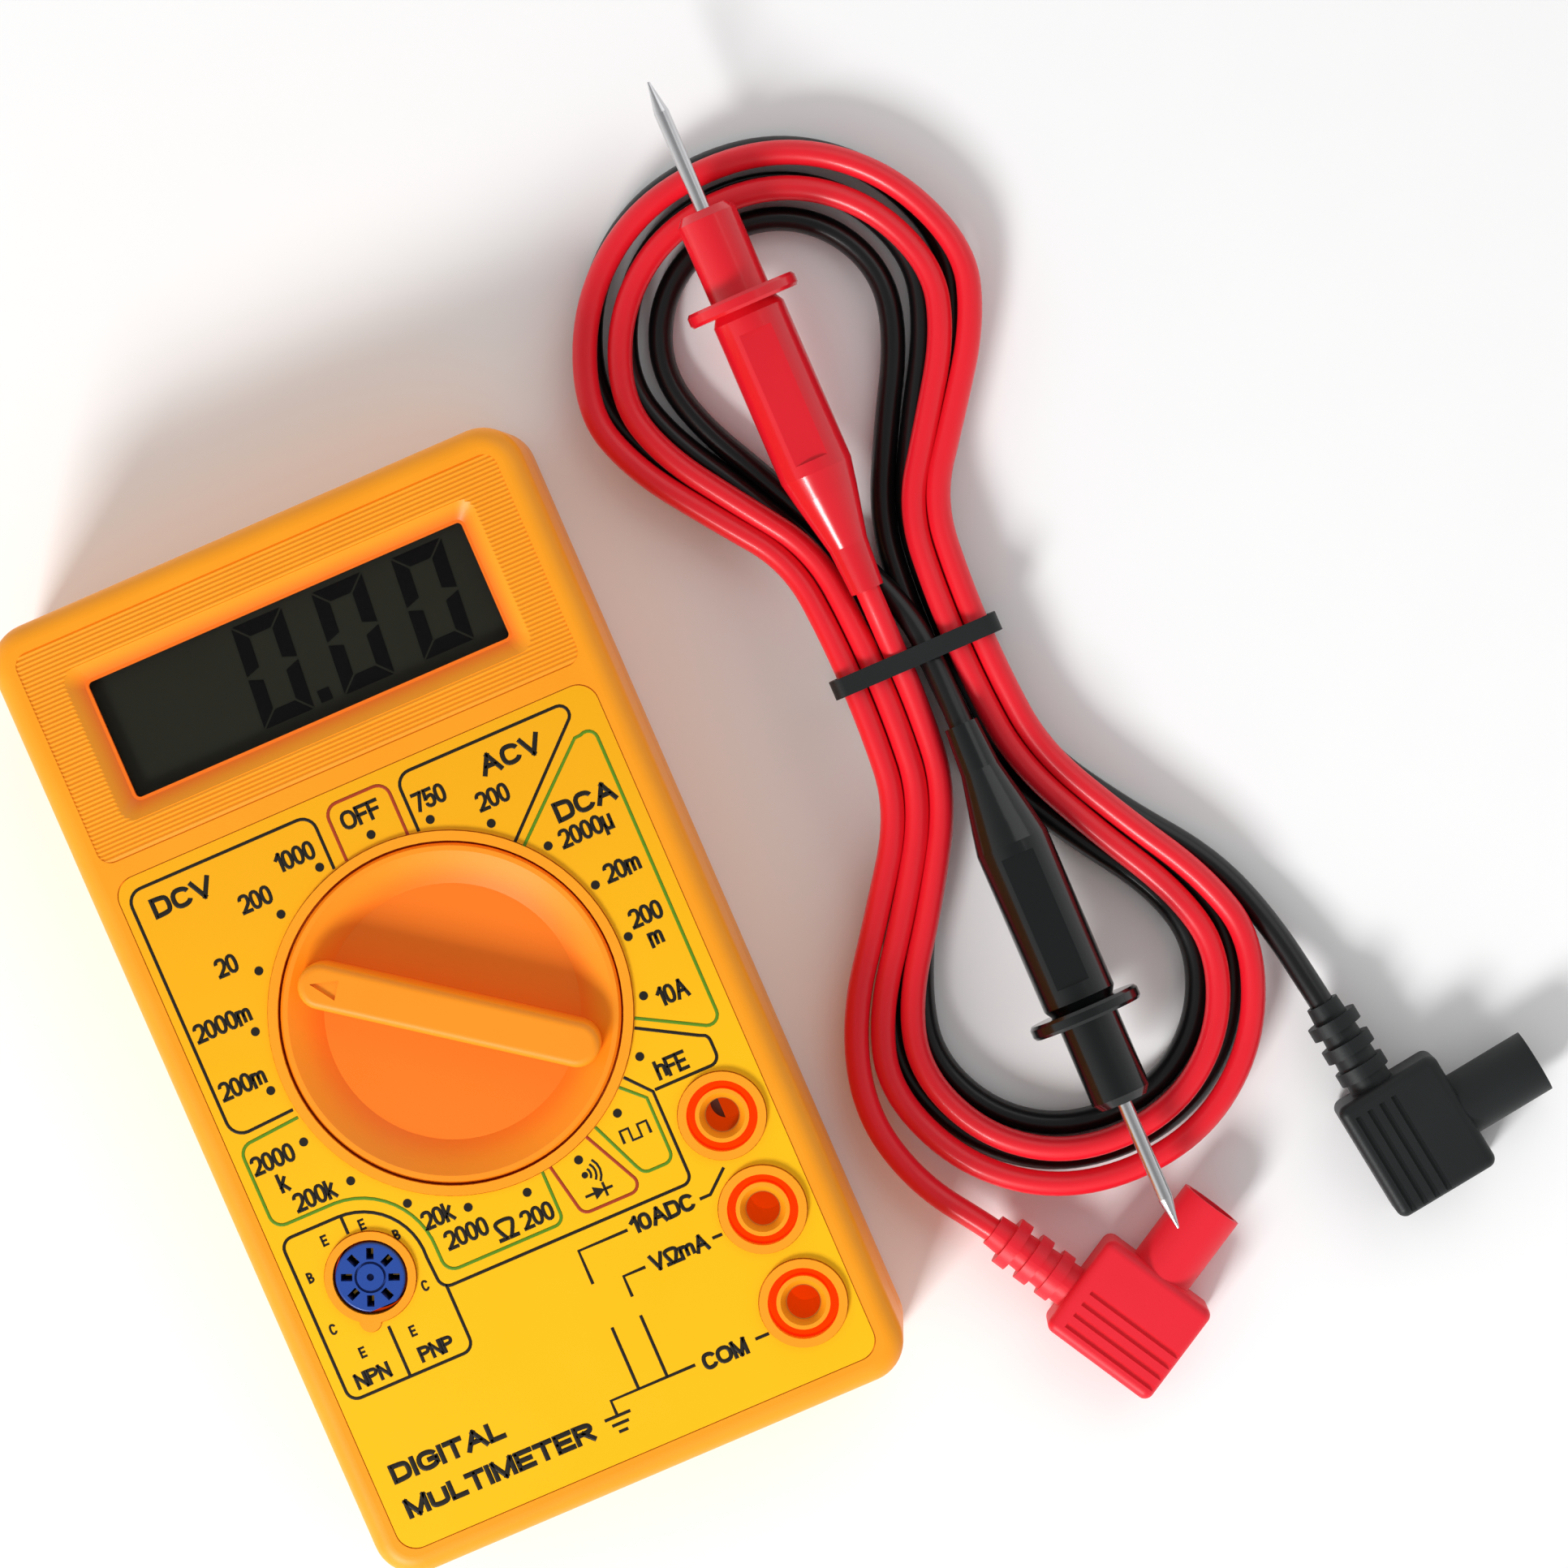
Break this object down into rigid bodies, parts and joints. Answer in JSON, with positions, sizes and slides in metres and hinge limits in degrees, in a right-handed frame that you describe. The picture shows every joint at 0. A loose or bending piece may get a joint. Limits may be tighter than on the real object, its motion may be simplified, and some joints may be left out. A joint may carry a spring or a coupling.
{
  "type": "digital multimeter",
  "caption": "Hand-held digital multimeter: two-shell orange case, recessed display, round range dial with bar handle, three input jacks, a transistor socket and a tied pair of test leads.",
  "frame": {"origin": "middle of the back face, with the meter lying on its back", "axes": "+Z out of the face, +Y towards the display end, +X towards the side with the input jacks"},
  "size_m": [0.1556, 0.1745, 0.0274],
  "materials": {
    "case_plastic": "satin moulded orange-yellow ABS",
    "panel_print": "printed yellow film",
    "screw_steel": "zinc plated steel",
    "clear_window": "clear acrylic",
    "lcd_glass": "olive grey liquid crystal cell",
    "holder_plastic": "white moulded plastic",
    "zebra_rubber": "layered conductive silicone",
    "board_laminate": "phenolic board with green mask",
    "brass": "turned brass",
    "blue_plastic": "moulded blue nylon",
    "resistor_coat": "lacquered blue",
    "black_epoxy": "black epoxy",
    "film_red": "dipped lacquer",
    "can_black": "black sleeve",
    "ceramic_tan": "tan dipped ceramic",
    "trimmer_blue": "blue moulding",
    "trimmer_white": "white moulding",
    "fuse_glass": "clear glass",
    "tinned_steel": "tinned spring steel",
    "shunt_alloy": "constantan wire",
    "shield_foil": "foil on card",
    "battery_shell": "lacquered steel jacket",
    "black_vinyl": "soft vinyl",
    "red_wire": "PVC insulation",
    "black_wire": "PVC insulation",
    "red_vinyl": "soft moulded vinyl",
    "probe_black": "glossy moulding",
    "probe_red": "glossy moulding",
    "dial_plastic": "satin moulded orange ABS"
  },
  "bodies": {
    "case": {"front_case": "case_plastic", "rear_case": "case_plastic", "function_panel": "panel_print", "case_screws": "screw_steel", "board_screws": "screw_steel", "lcd_window": "clear_window", "lcd_panel": "lcd_glass", "lcd_holder": "holder_plastic", "zebra_strip": "zebra_rubber", "circuit_board": "board_laminate", "input_socket_com": "brass", "input_socket_volt": "brass", "input_socket_amp": "brass", "transistor_socket": "blue_plastic", "socket_contacts": "brass", "resistors": "resistor_coat", "diode": "black_epoxy", "transistor": "black_epoxy", "film_capacitors": "film_red", "electrolytic_capacitor": "can_black", "ceramic_capacitors": "ceramic_tan", "chip_blob": "black_epoxy", "trimmer_body": "trimmer_blue", "fuse_tube": "fuse_glass", "fuse_caps": "tinned_steel", "fuse_clips": "tinned_steel", "shunt_wire": "shunt_alloy", "buzzer": "can_black", "shield_paper": "shield_foil", "ground_spring": "tinned_steel", "battery": "battery_shell", "battery_terminals": "tinned_steel", "battery_snap": "black_vinyl", "battery_lead_red": "red_wire", "battery_lead_black": "black_wire"},
    "dial": {"dial_knob": "dial_plastic", "wiper_contacts": "brass", "detent_spring_a": "tinned_steel", "detent_spring_b": "tinned_steel"},
    "test_leads": {"lead_black": "black_wire", "lead_red": "red_wire", "plug_boot_black": "black_vinyl", "plug_boot_red": "red_vinyl", "plug_pin_black": "tinned_steel", "plug_pin_red": "tinned_steel", "probe_handle_black": "probe_black", "probe_handle_red": "probe_red", "probe_needle_black": "tinned_steel", "probe_needle_red": "tinned_steel", "lead_tie": "black_vinyl"},
    "detent_ball_a": {"detent_ball_a": "screw_steel"},
    "detent_ball_b": {"detent_ball_b": "screw_steel"},
    "trimmer": {"trimmer_rotor": "trimmer_white"}
  },
  "joints": [
    {"name": "dial_turn", "type": "hinge", "parent": "case", "child": "dial", "pos_m": [0, -0.0011, 0.024], "axis": [0, 0, 1], "continuous": true},
    {"name": "detent_ball_a_throw", "type": "slide", "parent": "dial", "child": "detent_ball_a", "axis": [0.5878, 0.809, 0], "range_m": [0, 0.0005], "stiffness_N_per_m": 200, "springref_m": 0.0015, "deforming": ["detent_spring_a"]},
    {"name": "detent_ball_b_throw", "type": "slide", "parent": "dial", "child": "detent_ball_b", "axis": [-0.5878, -0.809, 0], "range_m": [0, 0.0005], "stiffness_N_per_m": 200, "springref_m": 0.0015, "deforming": ["detent_spring_b"]},
    {"name": "trimmer_turn", "type": "hinge", "parent": "case", "child": "trimmer", "pos_m": [0.0175, 0.0099, 0.0085], "axis": [0, 0, -1], "range_deg": [-135, 135]},
    {"name": "test_leads_lift", "type": "slide", "parent": "case", "child": "test_leads", "axis": [0, 0, 1], "range_m": [0, 0.06]}
  ]
}
